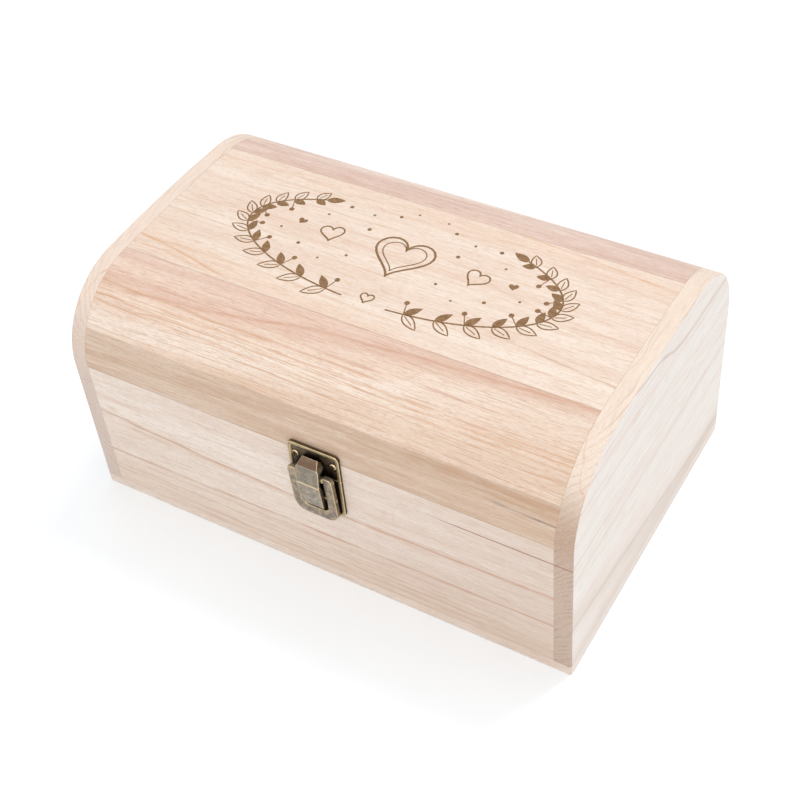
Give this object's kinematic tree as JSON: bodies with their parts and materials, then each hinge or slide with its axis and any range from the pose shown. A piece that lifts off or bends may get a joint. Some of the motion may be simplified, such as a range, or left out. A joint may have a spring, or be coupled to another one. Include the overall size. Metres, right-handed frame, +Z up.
{
  "type": "keepsake box",
  "caption": "Small wooden chest with round-shouldered hinged lid and antique bronze toggle latch, for papers and keepsakes.",
  "frame": {"origin": "centre of the footprint on the underside of the bottom board", "axes": "+X to the right along the front, +Y from front to rear, +Z up"},
  "size_m": [0.3, 0.2087, 0.144],
  "materials": {
    "pale_wood": "pale sanded bare wood, thin brown grain",
    "end_wood": "pale sanded bare wood, grain from front to rear",
    "brown_wood": "striped brown sanded bare wood",
    "pink_wood": "pinkish sanded bare wood",
    "top_wood": "light sanded bare wood",
    "bronze": "antique bronze plating, rubbed bright on the edges",
    "screw_bronze": "antique bronze plating"
  },
  "bodies": {
    "base": {"bottom_board": "pale_wood", "base_front_board": "pale_wood", "base_rear_board": "pale_wood", "base_left_end": "end_wood", "base_right_end": "end_wood", "latch_base_plate": "bronze", "latch_base_screws": "screw_bronze", "latch_ring_pin": "bronze", "hinge_left_base_leaf": "bronze", "hinge_right_base_leaf": "bronze", "hinge_left_pin": "bronze", "hinge_right_pin": "bronze", "hinge_base_screws": "screw_bronze"},
    "lid": {"lid_left_end": "end_wood", "lid_right_end": "end_wood", "lid_front_strip": "pale_wood", "lid_front_stave": "brown_wood", "lid_top_board": "top_wood", "lid_rear_stave": "pink_wood", "lid_rear_strip": "pale_wood", "strike_plate": "bronze", "strike_screws": "screw_bronze", "hinge_left_lid_leaf": "bronze", "hinge_right_lid_leaf": "bronze", "hinge_lid_screws": "screw_bronze"},
    "ring": {"latch_ring": "bronze", "latch_tongue_pin": "bronze"},
    "tongue": {"latch_tongue": "bronze"}
  },
  "joints": [
    {"name": "lid_hinge", "type": "hinge", "parent": "base", "child": "lid", "pos_m": [0, 0.1, 0.08457], "axis": [-1, 0, 0], "range_deg": [0, 110]},
    {"name": "latch_lever", "type": "hinge", "parent": "base", "child": "ring", "pos_m": [0.0063, -0.1028, 0.0865], "axis": [-1, 0, 0], "range_deg": [0, 130]},
    {"name": "latch_tongue_turn", "type": "hinge", "parent": "ring", "child": "tongue", "pos_m": [0.0063, -0.10191, 0.072], "axis": [-1, 0, 0], "range_deg": [-130, 0]}
  ],
  "couplings": [
    {"joint": "latch_tongue_turn", "follows": "latch_lever", "ratio": -1}
  ]
}
